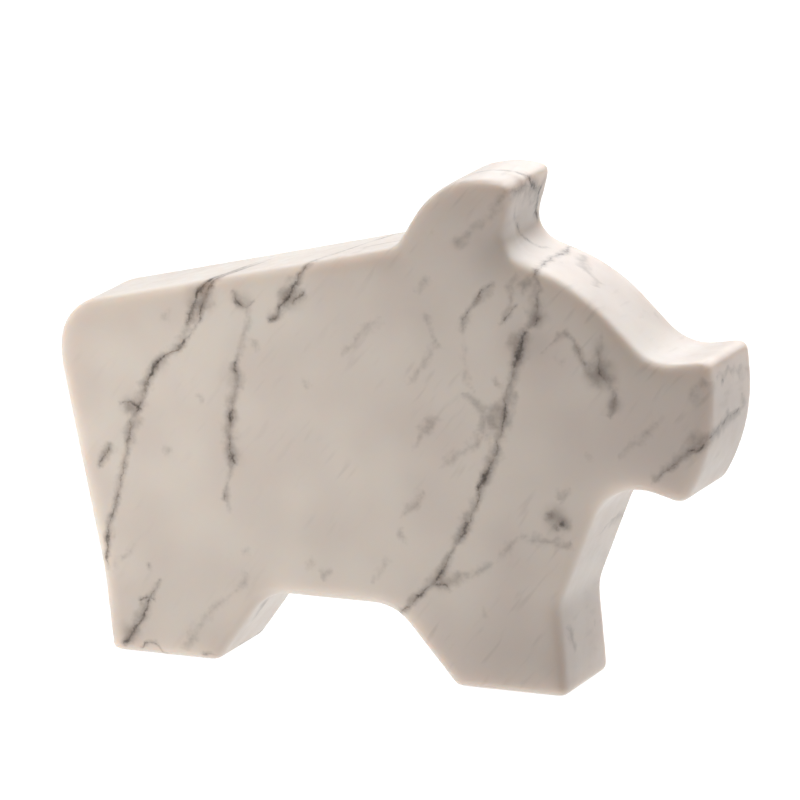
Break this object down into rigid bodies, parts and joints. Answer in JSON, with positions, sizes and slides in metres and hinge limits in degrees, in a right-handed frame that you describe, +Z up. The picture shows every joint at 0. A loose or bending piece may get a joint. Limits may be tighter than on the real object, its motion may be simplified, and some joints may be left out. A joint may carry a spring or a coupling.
{
  "type": "marble pig paperweight",
  "caption": "Pig in profile carved from a slab of white marble with dark veins, its edges rubbed soft, standing on broad flat feet to hold papers down by its weight.",
  "frame": {"origin": "on the table plane under the middle of the pig's length and thickness", "axes": "+X towards the snout, +Y across the slab's thickness towards the pig's left side, +Z up towards the ear"},
  "size_m": [0.1498, 0.028, 0.1109],
  "materials": {
    "marble": "honed and lightly polished white marble with dark grey veins"
  },
  "bodies": {
    "root": {"pig": "marble"}
  },
  "joints": []
}
